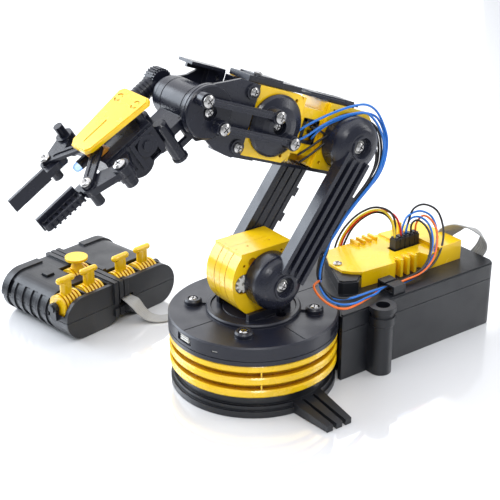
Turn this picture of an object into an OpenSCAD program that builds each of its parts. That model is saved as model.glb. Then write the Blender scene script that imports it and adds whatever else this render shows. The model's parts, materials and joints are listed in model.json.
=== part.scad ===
// Motor-driven desktop robot arm with a round turntable base, a battery box,
// a two-finger gripper and a wired lever handset. Millimetres, +Z up. The
// origin is on the floor, on the turntable's axis; the gripper points to -X
// and the battery box lies towards +X.

/* [Base] */
// Radius of the round base cap
disc_r = 53; // [51:0.5:55]
// Height of the cap's top face above the floor
cap_z = 48; // [47:0.5:49]
// Distance from the turntable's axis to each leg tip
leg_reach = 80; // [72:1:90]

/* [Battery box] */
// Far end of the box, measured from the turntable's axis
box_end = 175.5; // [172:0.5:185]
// Width of the box
box_w = 77; // [76:0.5:84]
// Height of the lid's top face
lid_z = 45.5; // [44:0.5:47]

/* [Arm] */
// Length of the upper arm between its two axles
arm_len = 94.2; // [90:0.2:110]
// Backward lean of the upper arm at rest, in degrees
arm_lean = 37.2; // [30:0.2:42]
// Length of the forearm between its two axles
forearm_len = 108; // [106:0.5:112]
// Upward tilt of the forearm at rest, in degrees
forearm_tilt = 20.8; // [14:0.2:26]
// Downward pitch of the hand at rest, in degrees
hand_pitch = 32; // [28:0.5:36]

/* [Gripper] */
// Gap between the finger pads at rest
grip_gap = 30; // [28:0.5:31]
// Length of the yellow hand cover
cover_len = 44; // [40:0.5:46]

/* [Handset] */
// Width of the handset across its two lobes
handset_w = 96; // [94:0.5:98]
// Depth of the handset
handset_d = 70; // [66:0.5:74]
// Height of the handset's deck
handset_h = 30; // [29:0.5:32]

/* [Hidden] */
$fn = 64;
eps = 0.01;
gap = 0.4;
shoulder_z = 74;
elbow_x = arm_len * sin(arm_lean);
elbow_z = shoulder_z + arm_len * cos(arm_lean);
wrist_x = elbow_x - forearm_len * cos(forearm_tilt);
wrist_z = elbow_z + forearm_len * sin(forearm_tilt);
crank_u = 56;
pin_r = 10.35;
pin_phase = 39;
axle_r = 4;
bore_r = 4.05;
case_y = 13.7;
wall = 2;
near_rail_y = [-32, -24];
far_rail_y = [14.6, 22.6];
seam_z = 34;
skirt_z = 36;
ring_z = [14, 22.5, 31];
boss_r = 38;
cell_r = 16.9;
cell_len = 61.5;
box_start = 46;
cell_x = 49.8;
post_out = 5;
lever_shaft_r = 1.5;
cover_z = 56.5;
handset_at = [-29, 113, 0];
handset_yaw = 11;
lever_x = [-38, -18, 10.5, 30.5];
lever_y = 12;
lever_z = 23.5;
grip_lever = [-7, 38];
drive_module = 1;
finger_pivot = [60.5, 30];
finger_screw = [78.6, 22.6];
clutch_y = -29;
clutch_z = 8;
lamp_y = -11;
lamp_z = 12.6;
slider_u = 59;
slider_y = 5;

// Ribbon from the handset's waist, over the floor behind the base, up the far
// and end walls of the battery box and into the circuit cover: places, then the
// direction that the flat side faces at each place.
ribbon_w = 10;
ribbon_t = 1.2;
ribbon_path = [
    [-24.6, 115.4, 16.4], [-22, 108, 14], [-18, 104, 7], [-13, 101, 2.4], [-6, 97.5, 0.9],
    [6, 95, 0.8], [24, 92, 0.8], [44, 86, 0.8], [64, 76, 0.8], [84, 66, 0.8],
    [104, 57, 1.4], [122, 50, 3.6], [138, 45, 6.6], [152, 42.4, 8.5], [166, 41, 9.5],
    [174, 39.6, 10], [178.2, 35, 11], [178.8, 27, 13], [178.5, 14, 19], [178.4, 0, 27.5],
    [178.4, -12, 36], [178.4, -19, 44.5], [178, -23, 51.5], [175.5, -25, 58.5], [170.5, -22, 64],
    [165.5, -15, 65.5], [162.8, -8, 62], [161, -3, 57.4], [157.6, -1, 54.6]
];
ribbon_face = [
    [0.2, -0.3, 1], [0.1, -0.7, 0.7], [0.2, -0.6, 0.8], [0, -0.2, 1], [0, 0, 1],
    [0, 0, 1], [0, 0, 1], [0, 0, 1], [0, 0, 1], [0, 0.2, 1],
    [0.2, 0.5, 0.9], [0.2, 0.8, 0.5], [0.1, 1, 0.2], [0, 1, 0], [0.1, 1, 0],
    [0.5, 0.9, 0], [1, 0.5, 0], [1, 0.1, 0], [1, 0, 0], [1, 0, 0],
    [1, 0, 0], [1, 0, 0], [1, -0.1, 0.1], [0.8, -0.5, 0.4], [0.6, -0.4, 0.8],
    [0.5, 0.1, 0.9], [0.7, 0.5, 0.5], [0.8, 0.6, 0.2], [0.6, 0.5, 0.7]
];

// ---- shared shapes ----------------------------------------------------

// Local frames. In the forearm and hand frames +X runs towards the fingers,
// +Y is the near side and +Z is up.
module arm_frame() {
    translate([0, 0, shoulder_z]) rotate([0, arm_lean, 0]) children();
}
module forearm_frame() {
    translate([elbow_x, 0, elbow_z]) rotate([0, forearm_tilt, 0]) rotate([0, 0, 180]) children();
}
module hand_frame() {
    translate([wrist_x, 0, wrist_z]) rotate([0, -hand_pitch, 0]) rotate([0, 0, 180]) children();
}
module handset_frame() {
    translate(handset_at) rotate([0, 0, handset_yaw]) children();
}

// Cylinder along Y from y0 to y1
module y_rod(r, y0, y1) {
    translate([0, y1, 0]) rotate([90, 0, 0]) cylinder(r = r, h = y1 - y0);
}
// Cylinder along X from x0 to x1
module x_rod(r, x0, x1) {
    translate([x0, 0, 0]) rotate([0, 90, 0]) cylinder(r = r, h = x1 - x0);
}
// Outline drawn in X and Z, given depth from y0 to y1
module xz_plate(y0, y1) {
    translate([0, y1, 0]) rotate([90, 0, 0]) linear_extrude(y1 - y0) children();
}
// Box given by its two corners
module span(low, high) {
    translate(low) cube(high - low);
}
// Rectangle with round corners, given by its two corners
module round_rect(low, high, r) {
    translate(low + [r, 0]) square(high - low - [2 * r, 0]);
    translate(low + [0, r]) square(high - low - [0, 2 * r]);
    for (x = [low[0] + r, high[0] - r], y = [low[1] + r, high[1] - r])
        translate([x, y]) circle(r);
}
// Slot outline with round ends between two points on X
module stadium(x0, x1, r) {
    translate([x0, -r]) square([x1 - x0, 2 * r]);
    translate([x0, 0]) circle(r);
    translate([x1, 0]) circle(r);
}
// Pan-head screw: the head stands on z = 0 and the shank goes down
module screw(head_r = 2.6, head_h = 1.6, shank = 8) {
    difference() {
        union() {
            cylinder(r = head_r, h = head_h * 0.55);
            translate([0, 0, head_h * 0.55]) cylinder(r1 = head_r, r2 = head_r * 0.62, h = head_h * 0.45);
            translate([0, 0, -shank]) cylinder(r = head_r * 0.42, h = shank + eps);
        }
        for (a = [0, 90])
            rotate([0, 0, a])
                translate([-head_r * 0.55, -0.35, head_h * 0.5]) cube([head_r * 1.1, 0.7, head_h]);
    }
}
// Screw along Y: side 1 has its head towards +Y, side -1 towards -Y
module y_screw(side, head_r = 2.6, head_h = 1.6, shank = 8) {
    rotate([side * -90, 0, 0]) screw(head_r, head_h, shank);
}

// Points of one involute tooth flank, from the root circle to the tip
function flank(base_r, tip_r, half, n) = [
    for (i = [0:n])
        let (r = base_r + (tip_r - base_r) * i / n,
             roll = sqrt(max(0, r * r / (base_r * base_r) - 1)),
             a = half - (roll * 180 / PI - atan(roll)))
        [r, a]
];
// Outline of a spur gear with thinned teeth
module gear_outline(teeth) {
    pitch_r = teeth * drive_module / 2;
    base_r = pitch_r * cos(20);
    tip_r = pitch_r + drive_module * 0.85;
    root_r = pitch_r - drive_module * 1.15;
    slack = 0.16 / pitch_r * 180 / PI;
    half = 90 / teeth + (tan(20) * 180 / PI - 20) - slack;
    side = flank(base_r, tip_r, half, 3);
    points = [
        for (t = [0:teeth - 1])
            for (p = concat(
                [[root_r, -half - 0.01]],
                [for (q = side) [q[0], -q[1]]],
                [for (i = [3:-1:0]) side[i]],
                [[root_r, half + 0.01]]))
            let (a = t * 360 / teeth + p[1])
            [p[0] * cos(a), p[0] * sin(a)]
    ];
    polygon(points);
}

// Small can motor along X with its two flats facing +Z and -Z
module can_motor(r = 7.5, flat = 6, length = 20) {
    intersection() {
        x_rod(r, 0, length);
        translate([0, -r, -flat]) cube([length, 2 * r, 2 * flat]);
    }
    x_rod(2.4, length - eps, length + 1.4);
    x_rod(0.8, length, length + 4);
}

// ---- base -------------------------------------------------------------

// Three-pronged leg that runs out along +Y
module leg() {
    root_y = 40;
    // the prongs slope down and part towards their tips
    intersection() {
        for (i = [-1, 0, 1])
            translate([i * 8.2, 0, 0]) linear_extrude(7)
                polygon([[-3.6 + i * 0.6, root_y], [3.6 + i * 0.6, root_y], [2.2 - i * 1.2, leg_reach],
                         [-2.2 - i * 1.2, leg_reach]]);
        translate([-20, 0, 0]) rotate([90, 0, 90]) linear_extrude(40)
            polygon([[root_y, 0], [leg_reach, 0], [leg_reach, 3.8], [root_y + 10, 7], [root_y, 7]]);
    }
    linear_extrude(3)
        polygon([[-12.4, root_y], [12.4, root_y], [10.6, leg_reach - 16], [-10.6, leg_reach - 16]]);
}
module base_plate() {
    color("dimgray") difference() {
        union() {
            cylinder(r = disc_r - 1, h = 4);
            translate([0, 0, 4]) cylinder(r = disc_r - 2.5, h = 3);
            translate([0, 0, 7]) cylinder(r = disc_r - 4.5, h = 7);
            translate([4, 0, 0]) leg();
            translate([4, 0, 0]) mirror([0, 1, 0]) leg();
        }
        translate([0, 0, 3]) cylinder(r = disc_r - 8.5, h = 12);
        // straight edge where the battery box runs in
        translate([box_start - gap, -28.4, -1]) cube([20, 56.8, 20]);
    }
    // post that the turntable turns on, and four screw pillars
    color("dimgray") translate([0, 0, 2]) cylinder(r = 8, h = 28);
    color("dimgray") for (a = [45:90:315]) rotate([0, 0, a]) translate([boss_r, 0, 2]) difference() {
        cylinder(r = 4, h = 42.6);
        translate([0, 0, 30]) cylinder(r = 1.3, h = 13);
    }
}
module base_rings() {
    color("gold") difference() {
        union() {
            translate([0, 0, 14]) cylinder(r = disc_r - 5, h = skirt_z - 14);
            for (z = ring_z) translate([0, 0, z]) {
                cylinder(r1 = disc_r - 1.2, r2 = disc_r - 0.4, h = 1);
                translate([0, 0, 1]) cylinder(r = disc_r - 0.4, h = 3);
                translate([0, 0, 4]) cylinder(r1 = disc_r - 0.4, r2 = disc_r - 1.2, h = 1);
            }
            for (a = [59, 149, 239]) rotate([0, 0, a])
                translate([disc_r - 6, -0.5, 14]) cube([4.2, 1, skirt_z - 14]);
        }
        translate([0, 0, 13]) cylinder(r = disc_r - 8, h = 24);
        // flat where the battery box meets the base
        translate([42, -60, 13]) cube([20, 120, 24]);
    }
}
module base_cap() {
    color("dimgray") difference() {
        union() {
            translate([0, 0, skirt_z]) cylinder(r = disc_r, h = cap_z - skirt_z - 1);
            translate([0, 0, cap_z - 1]) cylinder(r1 = disc_r, r2 = disc_r - 1, h = 1);
            translate([0, 0, cap_z]) cylinder(r = 29.5, h = 1.6);
            translate([0, 0, cap_z + 1.6]) cylinder(r1 = 29.5, r2 = 28.6, h = 0.9);
            for (a = [45:90:315]) rotate([0, 0, a]) translate([boss_r, 0, cap_z]) {
                cylinder(r = 5.6, h = 2.4);
                translate([0, 0, 2.4]) cylinder(r1 = 5.6, r2 = 4.6, h = 1.2);
            }
            for (a = [45:90:315]) rotate([0, 0, a])
                translate([28, -0.8, cap_z]) cube([6, 1.6, 1.2]);
        }
        translate([0, 0, skirt_z - 1]) cylinder(r = disc_r - 2.6, h = cap_z - skirt_z - 2);
        translate([0, 0, skirt_z]) cylinder(r = 26.6, h = 20);
        for (a = [45:90:315]) rotate([0, 0, a]) {
            translate([boss_r, 0, cap_z - 5]) cylinder(r = 1.5, h = 12);
            translate([boss_r, 0, cap_z + 2]) cylinder(r = 3.2, h = 3);
        }
        // radial seams between the four sectors
        for (a = [0:90:270]) rotate([0, 0, a])
            translate([30, -0.3, cap_z - 0.6]) cube([disc_r - 31.5, 0.6, 1]);
        // snap windows in the skirt
        for (a = [62, 182, 302]) rotate([0, 0, a])
            translate([disc_r - 1.4, -6.5, 41]) cube([3, 13, 5]);
        for (a = [88, 208, 328]) rotate([0, 0, a])
            translate([disc_r - 0.8, -2, 42.4]) cube([3, 4, 1]);
        translate([0, 0, skirt_z + 2.6]) rotate_extrude()
            translate([disc_r - 0.5, 0]) square([1, 0.7]);
    }
    // pillars under the cap that the screws pass through
    color("dimgray") for (a = [45:90:315]) rotate([0, 0, a]) translate([boss_r, 0, 44.6]) difference() {
        cylinder(r = 4.4, h = 0.6);
        translate([0, 0, -1]) cylinder(r = 1.5, h = 3);
    }
}
module base_screws() {
    color("silver") {
        for (a = [45:90:315]) rotate([0, 0, a]) translate([boss_r, 0, cap_z + 2]) screw(2.9, 1.8, 14);
        translate([71, 4, cover_z]) rotate([0, 0, 25]) screw(2.9, 1.4, 8);
    }
}
module base_motor() {
    color("gray") translate([-21.5, 16, 9.4]) can_motor(7.5, 6, 20);
    color("goldenrod") span([-40, -13, 3], [-23, -10.6, 27]);
    // cheeks on both sides of the motor
    color("goldenrod") for (y = [6, 23.8]) span([-22, y, 3], [-8, y + 2.2, 9]);
}

// Seen from above the pinion stands on the -X side of the turntable's gear
module base_pinion() {
    color("white") translate([-25, 0, 16]) {
        difference() {
            linear_extrude(9) rotate(18) gear_outline(10);
            translate([0, 0, -1]) cylinder(r = 1.2, h = 12);
        }
    }
}

// ---- battery box and electronics ---------------------------------------

// Plan of the box, hollowed to fit round the base cap
module box_outline(inset) {
    difference() {
        round_rect([30, -box_w / 2 + inset], [box_end - inset, box_w / 2 - inset], 6 - inset);
        circle(disc_r + 0.6 + inset * 1.2);
        translate([20, -50]) square([20 + inset, 100]);
    }
}
// Plan of the lower shell, whose straight end runs in under the cap
module tub_outline(inset) {
    box_outline(inset);
    translate([box_start + inset, -28 + inset]) square([20, 56 - 2 * inset]);
}
module battery_box() {
    color("dimgray") difference() {
        linear_extrude(seam_z) tub_outline(0);
        translate([0, 0, wall]) linear_extrude(seam_z) tub_outline(wall - 0.4);
    }
    // rib between the two rows of cells
    color("dimgray") span([60, -0.4, wall - eps], [box_end - 12, 0.4, 16]);
}
module battery_lid() {
    color("dimgray") difference() {
        union() {
            translate([0, 0, seam_z + 0.4]) linear_extrude(lid_z - seam_z - 1.4) box_outline(0);
            translate([0, 0, lid_z - 1]) linear_extrude(1) box_outline(0.8);
            // raised block beside the circuit cover
            difference() {
                translate([0, 0, lid_z - 1]) linear_extrude(10)
                    polygon([[75.2, 22], [57.4, -13.2], [59, -16], [68, -20.6], [75.2, -15.2]]);
                translate([0, 0, lid_z + 8.2]) linear_extrude(2) difference() {
                    polygon([[76, 24], [56, -13.2], [58, -18], [68, -22.6], [76, -15.6]]);
                    polygon([[75.3, 20.4], [58.6, -12.6], [60, -15], [67.8, -19.2], [75.3, -13.8]]);
                }
            }
        }
        translate([0, 0, seam_z - 1]) linear_extrude(lid_z - seam_z - 1.2) box_outline(wall);
        translate([0, 0, lid_z - 3]) linear_extrude(10)
            polygon([[73, 14.6], [60.6, -12], [67.6, -17], [73, -13.6]]);
        translate([71, 4, lid_z]) cylinder(r = 1.6, h = 12);
        // room for the tops of the cells
        span([40, -35.6, 30], [60, 35.6, 2 * cell_r + wall + 0.5]);
        // way down for the wires and the ribbon
        translate([100, 2, lid_z - 4]) cylinder(r = 5, h = 6);
    }
    // lip inside the seam
    color("dimgray") translate([0, 0, seam_z - 2]) linear_extrude(4) difference() {
        box_outline(wall - 0.02);
        box_outline(wall + 1);
        translate([30, -box_w / 2]) square([30, box_w]);
    }
}
module battery_cells() {
    for (x = [0, 1], side = [-1, 1]) translate([cell_x + x * (cell_len + 0.1), side * 18.1, wall + cell_r + 0.1]) {
        color("steelblue") x_rod(cell_r, 0, cell_len - 1.8);
        color("silver") x_rod(4.5, cell_len - 1.8 - eps, cell_len);
    }
}
module battery_springs() {
    color("silver") for (side = [-1, 1]) {
        translate([box_start + wall, side * 18.1 - 8, 11]) cube([0.4, 16, 16]);
        translate([cell_x - 0.7, side * 18.1, wall + cell_r + 0.1]) x_rod(5, 0, 0.6);
        translate([cell_x + 2 * cell_len + 0.2, side * 18.1 - 8, 11]) cube([0.4, 16, 16]);
    }
}
module side_post() {
    color("dimgray") translate([68.5, -box_w / 2 - post_out, 0]) difference() {
        union() {
            cylinder(r = 7.2, h = 44);
            translate([0, 0, 33.6]) cylinder(r1 = 7.2, r2 = 8.2, h = 1);
            translate([0, 0, 34.6]) cylinder(r = 8.2, h = 5.4);
            translate([0, 0, 43.4]) cylinder(r = 8.6, h = 3.6);
            translate([-7.2, 0, 0]) cube([14.4, post_out, 34]);
        }
        translate([0, 0, 33]) cylinder(r = 4.6, h = 20);
        translate([-12, post_out - eps, -1]) cube([24, 10, 60]);
    }
}
module circuit_board() {
    color("seagreen") span([80, -11, lid_z + 1.4], [156, 18, lid_z + 3]);
    color("dimgray") span([115, -3.6, lid_z + 3 - eps], [137.4, 3.6, lid_z + 4.6]);
    color("dimgray") {
        span([84, -8, lid_z + 3 - eps], [96, -1, lid_z + 4.8]);
        span([84, 6, lid_z + 3 - eps], [92, 12, lid_z + 6]);
        span([143, 8, lid_z + 3 - eps], [152, 17, lid_z + 6]);
    }
    color("dimgray") for (x = [82.5, 153], y = [-8.5, 15.5])
        translate([x, y, lid_z]) cylinder(r = 2, h = 1.4 + eps);
}
// Outline of the circuit cover: broad at the left, waisted, broad at the right
module cover_outline() {
    polygon([[75.5, -15], [103, -17], [104.5, -14], [127, -14], [128.5, -20.5], [159.5, -20.5],
             [159.5, 20], [128, 24.5], [77.5, 24.5]]);
}
module board_cover() {
    color("gold") difference() {
        union() {
            translate([0, 0, lid_z]) linear_extrude(cover_z - lid_z) cover_outline();
            translate([0, 0, lid_z]) linear_extrude(13.6)
                polygon([[138.8, -20.5], [159.5, -20.5], [159.5, 20], [138.8, 22]]);
            // fins on both long sides
            for (x = [106.5, 112.5, 118.5])
                translate([x, -18.4, lid_z]) cube([2.2, 7, cover_z - lid_z + 1.4]);
            for (x = [100, 105.2, 110.4, 115.6])
                translate([x, 17, lid_z + 3]) cube([1.8, 8.6, cover_z - lid_z - 0.4]);
            // upright tongue and step behind the plugs
            translate([133, 13, cover_z - 2]) cube([2.4, 7, 12]);
            translate([0, 0, lid_z]) linear_extrude(12.4)
                polygon([[124, 8], [139, 8], [139, 22], [124, 23.5]]);
            // end plate that is screwed down on the raised block
            translate([0, 0, lid_z + 9.1]) linear_extrude(cover_z - lid_z - 9.1)
                polygon([[66.9, -5.3], [70.2, -10.4], [76, -15], [78, 24.4], [77.4, 24.4], [67, 7.6]]);
        }
        difference() {
            translate([0, 0, lid_z - 1]) linear_extrude(cover_z - lid_z - 0.8)
                polygon([[77.5, -13], [101, -15], [104, -12], [127.5, -12], [130.4, -18.5], [157.6, -18.5],
                         [157.6, 18.4], [127, 22.6], [79.5, 22.6]]);
        }
        // well for the plugs
        translate([114, -4, lid_z + 3]) cube([24.4, 8, 20]);
        translate([71, 4, lid_z]) cylinder(r = 1.6, h = 20);
        // slot in the end wall that the ribbon comes out of
        translate([155, -8.5, lid_z + 6]) cube([8, 14, 6.4]);
    }
}
module motor_plugs() {
    color("black") for (i = [0:4]) translate([115.5 + i * 4.4, -2.9, lid_z + 4.8]) {
        cube([3.8, 5.8, 13.5]);
        translate([0.5, 0.5, 13.5 - eps]) cube([2.8, 4.8, 1.2]);
    }
}
module wire_clip() {
    color("black") translate([84, -36.5, lid_z]) {
        cube([10, 15.5, 1.6]);
        translate([0, 0, 1.5]) cube([10, 1.6, 4.5]);
        translate([0, 0, 4.8]) cube([10, 7, 1.4]);
        translate([0, 9, 4.8]) cube([10, 6.5, 1.4]);
        translate([0, 13.9, 1.5]) cube([10, 1.6, 4.5]);
    }
}

// Vector helpers for the swept bundles
function unit(v) = v / norm(v);
function tangent(p, i) =
    unit(p[min(i + 1, len(p) - 1)] - p[max(i - 1, 0)]);
// Closed tube of elliptical section along a list of places
module sweep(path, faces, half_w, half_t, sides = 8) {
    n = len(path);
    rings = [
        for (i = [0:n - 1])
            let (t = tangent(path, i),
                 w = unit(cross(t, faces[i])),
                 f = cross(w, t))
            for (k = [0:sides - 1])
                let (a = (k + 0.5) * 360 / sides)
                path[i] + w * half_w * cos(a) / cos(180 / sides) + f * half_t * sin(a)
    ];
    walls = [
        for (i = [0:n - 2], k = [0:sides - 1])
            for (tri = [[0, 1, 2], [0, 2, 3]])
                let (q = [i * sides + k, i * sides + (k + 1) % sides,
                          (i + 1) * sides + (k + 1) % sides, (i + 1) * sides + k])
                [for (m = tri) q[m]]
    ];
    first = [for (k = [1:sides - 2]) [0, k + 1, k]];
    last = [for (k = [1:sides - 2]) [(n - 1) * sides, (n - 1) * sides + k, (n - 1) * sides + k + 1]];
    polyhedron(points = rings, faces = concat(walls, first, last));
}
plug_wire_path = [
    [127, 0, 66], [126, 1, 72], [120, 2, 78], [110, 2, 81.5], [98, 1, 80], [88, -1, 75],
    [78, 2, 68.5], [70, 7, 63.5], [61.5, 10.5, 58]
];
module plug_wires() {
    color("royalblue") sweep(plug_wire_path, [for (p = plug_wire_path) [0, 1, 0]], 2.6, 1.6);
}

// ---- handset ------------------------------------------------------------

// Two lobes joined by a thinner waist, as seen from the near end
module handset_section(inset) {
    r = handset_h / 2 - inset;
    for (lobe = [[-33, -15], [18, 35]]) hull() {
        translate([lobe[0], handset_h / 2]) circle(r, $fn = 48);
        translate([lobe[1], handset_h / 2]) circle(r, $fn = 48);
    }
    translate([-14, 5.5 + inset]) square([32, handset_h - 5.5 - 2 * inset]);
}
module handset_body(inset) {
    translate([0, handset_d - inset, 0]) rotate([90, 0, 0])
        linear_extrude(handset_d - 2 * inset) handset_section(inset);
}
// Grip grooves round the outer side of the left lobe
module grip_grooves() {
    for (y = [18:8.6:61]) intersection() {
        span([-60, y, 5], [-40.5, y + 5.2, 25.5]);
        difference() {
            handset_body(-1);
            handset_body(1);
        }
    }
}
module handset_lower() {
    color("dimgray") handset_frame() difference() {
        intersection() {
            handset_body(0);
            span([-60, -2, -1], [60, 90, 14.8]);
        }
        handset_body(wall);
        // room for the ribbon at the waist
        span([-2.5, -1, 12], [10.5, 4, 20]);
        grip_grooves();
    }
    // ribs of the waist below the ribbon
    color("dimgray") handset_frame() for (x = [-7.2, -2.7, 1.8])
        translate([x, -1.6, 5.6]) cube([3.4, 2.6, 6]);
}
module handset_upper() {
    color("dimgray") handset_frame() difference() {
        union() {
            intersection() {
                handset_body(0);
                span([-60, -2, 15.2], [60, 90, 60]);
            }
            // raised bands at the far end of each lobe
            intersection() {
                translate([0, handset_d, 0]) rotate([90, 0, 0]) linear_extrude(6.5) handset_section(-1.3);
                union() {
                    span([-60, 40, 15.2], [-17, 90, 60]);
                    span([21, 40, 15.2], [60, 90, 60]);
                }
            }
            // ribbed waist
            for (x = [-7.2, -2.7, 1.8]) translate([x, -1.6, 15.2]) cube([3.4, 74, 16.2]);
            // bosses at the ends of the lever shafts
            translate([-50.5, lever_y, lever_z]) x_rod(3.8, 0, 3.1);
            translate([-51.6, lever_y, lever_z]) x_rod(2.6, 0, 1.2);
            translate([-50, lever_y - 3, 15.3]) cube([2.6, 6, 8]);
            translate([41.2, lever_y, lever_z + 0.6]) x_rod(4.2, 0, 3.4);
        }
        difference() {
            union() {
                handset_body(wall);
                // hollow under the waist ribs
                span([-7.6, wall, 10], [5.6, handset_d - wall, handset_h - wall]);
            }
            // bearing webs for the lever shafts
            for (x = [-48.6, -28.6, -8.7, 0, 19.9, 39.9])
                translate([x, lever_y - 5, 18]) cube([1.2, 10, 14]);
            for (x = [-17.4, 2.2]) translate([x, grip_lever[1] - 5, 18]) cube([1.2, 10, 14]);
        }
        span([-2.5, -3, 12], [10.5, 4, 18.2]);
        for (p = concat([for (x = lever_x) [x, lever_y]], [grip_lever]))
            span([p[0] - 9.4, p[1] - 9, lever_z - 9.2], [p[0] + 9.4, p[1] + 9, 40]);
        span([-30.6, 41.4, 20], [-23.4, 48.6, 40]);
        for (p = concat([for (x = lever_x) [x, lever_y]], [grip_lever]))
            translate([p[0], p[1], lever_z]) x_rod(lever_shaft_r + 0.05, -11, 11);
        grip_grooves();
    }
}
module handset_board() {
    color("seagreen") handset_frame() {
        span([-43, 4, 8], [-8, 62, 9.6]);
        for (x = [-33, -17], y = [8, 58]) translate([x, y, wall + 0.4]) cylinder(r = 2, h = 5.7);
    }
}
// One lever: finned barrel on a shaft, a stem, and a thumb bar
module lever(at, round_top) {
    color("gold") handset_frame() translate([at[0], at[1], lever_z]) {
        for (i = [-2.5:2.5]) translate([i * 2.8, 0, 0]) x_rod(8.1, -0.8, 0.8);
        x_rod(6.2, -8, 8);
        x_rod(lever_shaft_r, -9.8, 9.8);
        if (round_top) {
            translate([0, 0, 6]) cylinder(r1 = 5, r2 = 3, h = 6);
            translate([0, 0, 11.9]) cylinder(r1 = 3, r2 = 8, h = 2);
            translate([0, 0, 13.9 - eps]) cylinder(r = 8, h = 1.8);
        } else {
            translate([-3, -2.1, 5]) cube([6, 4.2, 12]);
            for (x = [-2, 2]) translate([x, 0, 5]) cylinder(r = 2.4, h = 11);
            translate([0, 0, 17.6]) x_rod(2.2, -5.2, 5.2);
            for (x = [-5.2, 5.2]) translate([x, 0, 17.6]) sphere(r = 2.2);
        }
    }
}
module lever_base() { lever([lever_x[0], lever_y], false); }
module lever_shoulder() { lever([lever_x[1], lever_y], false); }
module lever_elbow() { lever([lever_x[2], lever_y], false); }
module lever_wrist() { lever([lever_x[3], lever_y], false); }
module lever_grip() { lever(grip_lever, true); }
module led_button() {
    color("black") handset_frame() {
        span([-30, 42, handset_h - 3.6], [-24, 48, handset_h + 1.6]);
        span([-31.4, 40.6, handset_h - 4.4], [-22.6, 49.4, handset_h - 3.5]);
    }
}
module handset_ribbon() {
    color("lightgray") sweep(ribbon_path, ribbon_face, ribbon_w / 2, ribbon_t / 2);
}

// ---- turntable and shoulder ------------------------------------------------

module turntable() {
    color("dimgray") difference() {
        union() {
            translate([0, 0, 45.4]) cylinder(r = 26.2, h = 4.2);
            translate([0, 0, 31]) cylinder(r = 13, h = 15);
            translate([0, 0, 16]) linear_extrude(9) gear_outline(40);
            translate([0, 0, 16]) cylinder(r = 12, h = 16);
            // saddle that holds the shoulder gearbox
            for (s = [-1, 1]) translate([-16, s * 15.6 - 1.4, 49]) cube([32, 2.8, 5]);
        }
        translate([0, 0, 10]) cylinder(r = 8.05, h = 24);
        for (s = [-1, 1]) translate([6, s * 20, 40]) cylinder(r = 3.4, h = 12);
        rotate_extrude() translate([19, 49.1]) square([1.2, 1]);
    }
}
// Side view of the shoulder gearbox: flat top and bottom, round nose
module shoulder_outline(inset) {
    nose = 25.5 - inset;
    intersection() {
        translate([-30, -24 + inset]) square([60 - inset, 43.5 - 2 * inset]);
        union() {
            circle(nose, $fn = 96);
            translate([0, -24 + inset]) square([18.4 - inset, 43.5 - 2 * inset]);
            translate([-18.5 + inset, 0]) square([30, 19.5 - inset]);
        }
        translate([-40, -40]) square([58.4 - inset, 80]);
    }
}
module shoulder_half(side) {
    translate([0, 0, shoulder_z]) difference() {
        xz_plate(side > 0 ? 0.1 : -case_y, side > 0 ? case_y : -0.1) shoulder_outline(0);
        xz_plate(-case_y + wall, case_y - wall) shoulder_outline(wall);
        y_rod(bore_r, -20, 20);
        translate([11, 0, 15]) y_rod(0.9, -20, 20);
        translate([-16.7, 0, 11.6]) y_rod(0.9, -20, 20);
        translate([-16.8, 0, -20.1]) y_rod(0.9, -20, 20);
        // seam groove round the nose
        translate([0, side * 5.5, 0]) rotate([90, 0, 0]) rotate_extrude()
            translate([25.1, -0.25]) square([1, 0.5]);
    }
}
module shoulder_case_near() {
    color("gold") difference() {
        shoulder_half(-1);
        translate([-11, 0, 87]) y_rod(2.7, -14, -12);
        translate([-17, 0, shoulder_z]) y_rod(6.4, -case_y - 1, -case_y + wall + 1);
        for (x = [-8, 8]) translate([x, -5, 90]) cylinder(r = 0.7, h = 6);
    }
}
module shoulder_case_far() {
    color("gold") shoulder_half(1);
}
module shoulder_motor() {
    color("silver") translate([-11, 3.6, 59.5]) can_motor(7.4, 6, 20);
}
module shoulder_pinion() {
    color("white") translate([-17, 0, shoulder_z]) difference() {
        translate([0, -7.6, 0]) rotate([90, 0, 0]) linear_extrude(5.8) rotate(18) gear_outline(10);
        y_rod(1.2, -14, 0);
    }
}

// ---- upper arm ----------------------------------------------------------------

// Dome over a joint, opening with a round recess for the screw; base at y = 0
// and crown towards +Y
module dome(r, h) {
    rim = r * 0.44;
    rotate([-90, 0, 0]) rotate_extrude() polygon(concat(
        [[0, 0], [r, 0], [r, h * 0.2]],
        [for (a = [10:10:90]) [rim + (r - rim) * cos(a), h * 0.2 + (h * 0.8 - 0.9) * sin(a)]],
        [[rim, h], [rim - 1.1, h], [rim - 2.1, h - 3.6], [0, h - 3.6]]));
}
module rail_body(y0, y1, out) {
    width = y1 - y0;
    web0 = out > 0 ? y0 : y0 + 3;
    difference() {
        union() {
            span([-8.5, web0, 4], [12, web0 + width - 3, arm_len - 4]);
            for (x = [-8.5, -2.4, 3.4, 9.4]) span([x, y0, 8], [x + 2.7, y1, arm_len - 8]);
            span([-8.5, y0, 6], [-6, y1, arm_len - 6]);
            span([9.4, y0, 6], [12, y1, arm_len - 6]);
        }
        // shallow grooves on the inner face
        inner = out > 0 ? y0 - 0.6 : y1 - 0.6;
        for (x = [-4.4, 1.4, 7.2]) span([x, inner, 16], [x + 1.8, inner + 1.2, arm_len - 16]);
    }
}
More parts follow.
